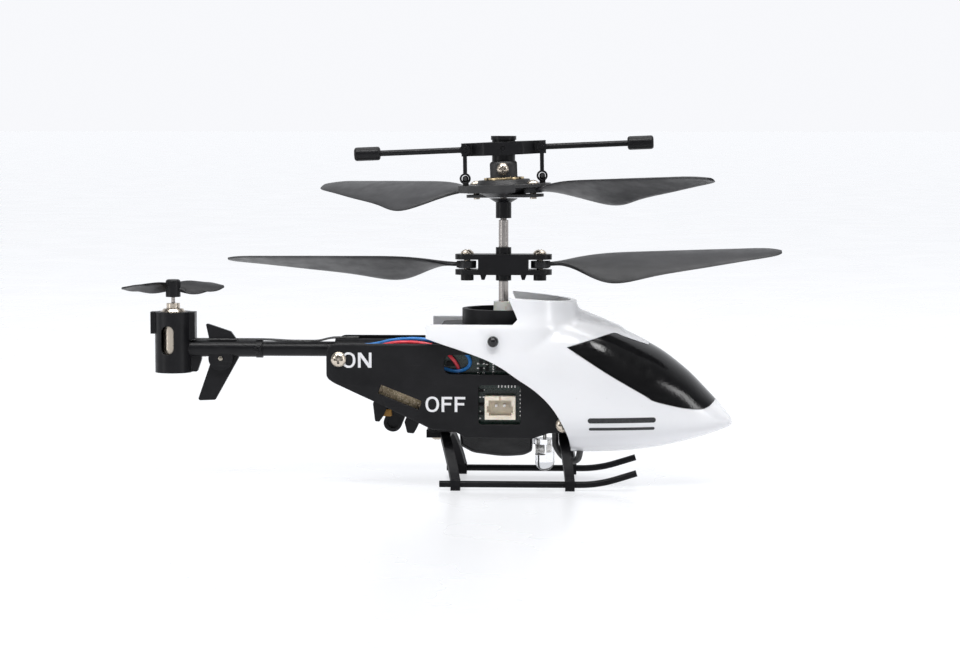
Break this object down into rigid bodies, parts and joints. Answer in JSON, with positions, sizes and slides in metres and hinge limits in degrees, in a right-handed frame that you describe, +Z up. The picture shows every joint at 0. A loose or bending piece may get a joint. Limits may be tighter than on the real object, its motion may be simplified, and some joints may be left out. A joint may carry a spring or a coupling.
{
  "type": "remote control helicopter",
  "caption": "Micro coaxial remote control helicopter: two stacked rotors with a flybar, slim tail boom with a tail rotor, moulded canopy and skid landing gear.",
  "frame": {"origin": "on the surface the skids stand on, under the middle of the bounding box", "axes": "+X to the nose, +Y to the helicopter's left, +Z up along the rotor shafts; the rotor axis is 8.13 mm ahead of the origin"},
  "size_m": [0.1016, 0.0606, 0.0536],
  "materials": {
    "black_plastic": "satin moulded plastic with a fine grain",
    "white_shell": "polished white moulding",
    "window_black": "high gloss black",
    "screw_steel": "nickel-plated, slightly warm",
    "can_steel": "drawn and plated can",
    "shaft_steel": "ground steel",
    "pin_metal": "tinned",
    "brass_bush": "turned",
    "nylon_white": "natural nylon",
    "board_green": "green solder mask",
    "chip_black": "moulded chip packages",
    "socket_cream": "cream nylon",
    "board_tan": "phenolic board",
    "battery_wrap": "shrink wrap",
    "led_clear": "clear epoxy",
    "wire_red": "vinyl sheath",
    "wire_blue": "vinyl sheath",
    "wire_black": "vinyl sheath or enamel"
  },
  "bodies": {
    "airframe": {"main_frame": "black_plastic", "side_panel_right": "black_plastic", "side_panel_left": "black_plastic", "canopy": "white_shell", "windscreen": "window_black", "canopy_pins": "black_plastic", "body_screws": "screw_steel", "tail_boom": "black_plastic", "tail_motor_mount": "black_plastic", "tail_fin": "black_plastic", "fin_pin": "black_plastic", "tail_motor_can": "can_steel", "tail_leads": "wire_black", "circuit_board": "board_green", "board_chips": "chip_black", "infrared_receiver": "chip_black", "charging_socket": "socket_cream", "socket_pins": "pin_metal", "switch_can": "can_steel", "switch_board": "board_tan", "switch_body": "black_plastic", "battery": "battery_wrap", "motor_cans": "can_steel", "upper_bearing": "nylon_white", "lower_bearing": "brass_bush", "led_lamp": "led_clear", "led_leads": "pin_metal", "red_wire": "wire_red", "blue_wire": "wire_blue", "nose_lead": "wire_black", "landing_bow_front": "black_plastic", "landing_bow_rear": "black_plastic", "skid_right": "black_plastic", "skid_left": "black_plastic"},
    "lower_rotor": {"outer_shaft": "shaft_steel", "outer_gear": "nylon_white", "lower_hub": "black_plastic", "lower_hub_screws": "screw_steel"},
    "lower_blade_a": {"lower_blade_a": "black_plastic"},
    "lower_blade_b": {"lower_blade_b": "black_plastic"},
    "upper_rotor": {"inner_shaft": "shaft_steel", "inner_gear": "nylon_white", "shaft_collar": "black_plastic", "rotor_head": "black_plastic", "hub_pivot_screws": "screw_steel"},
    "upper_hub": {"upper_hub": "black_plastic", "hub_ring": "brass_bush", "upper_blade_screws": "screw_steel"},
    "upper_blade_a": {"upper_blade_a": "black_plastic"},
    "upper_blade_b": {"upper_blade_b": "black_plastic"},
    "flybar": {"flybar": "black_plastic"},
    "link_front": {"link_front": "black_plastic"},
    "link_rear": {"link_rear": "black_plastic"},
    "front_pinion": {"front_pinion": "brass_bush", "front_motor_shaft": "shaft_steel"},
    "rear_pinion": {"rear_pinion": "brass_bush", "rear_motor_shaft": "shaft_steel"},
    "tail_rotor": {"tail_rotor": "black_plastic", "tail_motor_shaft": "shaft_steel"},
    "switch_knob": {"switch_knob": "black_plastic"}
  },
  "joints": [
    {"name": "lower_rotor_spin", "type": "hinge", "parent": "airframe", "child": "lower_rotor", "pos_m": [0.00813, 0, 0.026], "axis": [0, 0, 1], "continuous": true},
    {"name": "upper_rotor_spin", "type": "hinge", "parent": "airframe", "child": "upper_rotor", "pos_m": [0.00813, 0, 0.018], "axis": [0, 0, 1], "continuous": true},
    {"name": "front_pinion_spin", "type": "hinge", "parent": "airframe", "child": "front_pinion", "pos_m": [0.01491, 0, 0.0193], "axis": [0, 0, 1], "continuous": true},
    {"name": "rear_pinion_spin", "type": "hinge", "parent": "airframe", "child": "rear_pinion", "pos_m": [0.00135, 0, 0.0193], "axis": [0, 0, 1], "continuous": true},
    {"name": "lower_blade_a_lag", "type": "hinge", "parent": "lower_rotor", "child": "lower_blade_a", "pos_m": [0.01373, 0, 0.03375], "axis": [0, 0, 1], "range_deg": [-40, 40]},
    {"name": "lower_blade_b_lag", "type": "hinge", "parent": "lower_rotor", "child": "lower_blade_b", "pos_m": [0.00253, 0, 0.03375], "axis": [0, 0, 1], "range_deg": [-40, 40]},
    {"name": "hub_teeter", "type": "hinge", "parent": "upper_rotor", "child": "upper_hub", "pos_m": [0.00813, 0, 0.0485], "axis": [0, 1, 0], "range_deg": [-3.6, 8.4]},
    {"name": "flybar_tilt", "type": "hinge", "parent": "upper_rotor", "child": "flybar", "pos_m": [0.00813, 0, 0.0516], "axis": [0, 1, 0], "range_deg": [-3.6, 8.4]},
    {"name": "link_front_swing", "type": "hinge", "parent": "flybar", "child": "link_front", "pos_m": [0.01402, 0, 0.05185], "axis": [0, 1, 0], "range_deg": [-6, 6]},
    {"name": "link_rear_swing", "type": "hinge", "parent": "flybar", "child": "link_rear", "pos_m": [0.00224, 0, 0.05135], "axis": [0, 1, 0], "range_deg": [-6, 6]},
    {"name": "upper_blade_a_lag", "type": "hinge", "parent": "upper_hub", "child": "upper_blade_a", "pos_m": [0.01279, -0.00453, 0.04529], "axis": [-0.0419, 0, 0.9991], "range_deg": [-40, 40]},
    {"name": "upper_blade_b_lag", "type": "hinge", "parent": "upper_hub", "child": "upper_blade_b", "pos_m": [0.00375, 0.00453, 0.04491], "axis": [-0.0419, 0, 0.9991], "range_deg": [-40, 40]},
    {"name": "tail_rotor_spin", "type": "hinge", "parent": "airframe", "child": "tail_rotor", "pos_m": [-0.04312, 0, 0.027], "axis": [0, 0, 1], "continuous": true},
    {"name": "switch_slide", "type": "slide", "parent": "airframe", "child": "switch_knob", "axis": [0.9285, 0, -0.3714], "range_m": [0, 0.002]}
  ],
  "couplings": [
    {"joint": "front_pinion_spin", "follows": "lower_rotor_spin", "ratio": -4},
    {"joint": "rear_pinion_spin", "follows": "upper_rotor_spin", "ratio": -4},
    {"joint": "flybar_tilt", "follows": "hub_teeter", "ratio": 1},
    {"joint": "link_front_swing", "follows": "hub_teeter", "ratio": -0.705},
    {"joint": "link_rear_swing", "follows": "hub_teeter", "ratio": -0.705}
  ]
}
